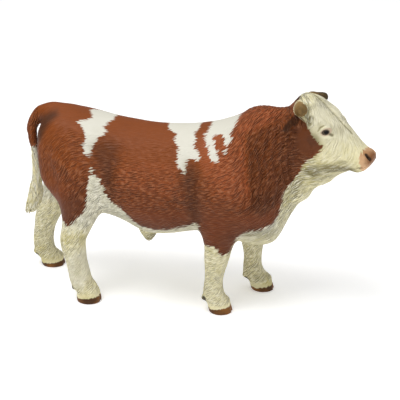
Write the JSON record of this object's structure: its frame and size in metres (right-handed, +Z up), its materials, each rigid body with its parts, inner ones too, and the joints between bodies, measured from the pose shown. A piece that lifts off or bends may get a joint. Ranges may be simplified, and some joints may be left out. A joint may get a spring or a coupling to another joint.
{
  "type": "toy farm animal figure",
  "caption": "Free-standing moulded and hand-painted toy bull in mid-stride, horned, head turned to its right, on four cloven hooves.",
  "frame": {"origin": "on the ground, under the middle of the figure's bounding box", "axes": "+X forward, towards the head; +Y towards the animal's left; +Z up"},
  "size_m": [0.146, 0.0458, 0.0881],
  "materials": {
    "red_brown_paint_on_pvc": "hand-painted satin",
    "cream_paint_on_pvc": "hand-painted satin with a grey-green wash",
    "horn_paint_on_pvc": "hand-painted satin"
  },
  "bodies": {
    "root": {"torso": "red_brown_paint_on_pvc", "head": "cream_paint_on_pvc", "tail": "red_brown_paint_on_pvc", "right_foreleg": "cream_paint_on_pvc", "left_foreleg": "cream_paint_on_pvc", "right_hindleg": "cream_paint_on_pvc", "left_hindleg": "cream_paint_on_pvc", "right_horn": "horn_paint_on_pvc", "left_horn": "horn_paint_on_pvc", "right_ear": "red_brown_paint_on_pvc", "left_ear": "red_brown_paint_on_pvc"}
  },
  "joints": []
}
